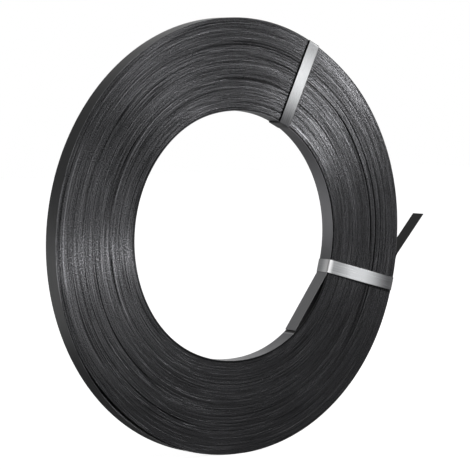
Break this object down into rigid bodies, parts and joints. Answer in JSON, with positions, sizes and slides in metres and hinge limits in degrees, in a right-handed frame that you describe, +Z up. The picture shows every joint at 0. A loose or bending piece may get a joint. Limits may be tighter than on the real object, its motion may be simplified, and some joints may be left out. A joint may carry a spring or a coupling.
{
  "type": "steel strapping coil",
  "caption": "Ribbon-wound coil of black steel strapping, 19 mm wide, standing on its rim, with bright steel ties bent round its section and a free strap end inside and outside.",
  "frame": {"origin": "Middle of the flat facet at the bottom of the rim, where the standing coil meets the floor, straight below the coil's centre.", "axes": "+Z up, +Y along the coil's axis away from the front, +X to the right seen from the front."},
  "size_m": [0.5623, 0.0211, 0.5165],
  "materials": {
    "strap_black": "satin",
    "tie_steel": "brushed"
  },
  "bodies": {
    "root": {"strap_coil": "strap_black", "tie_upper": "tie_steel", "tie_lower": "tie_steel"}
  },
  "joints": []
}
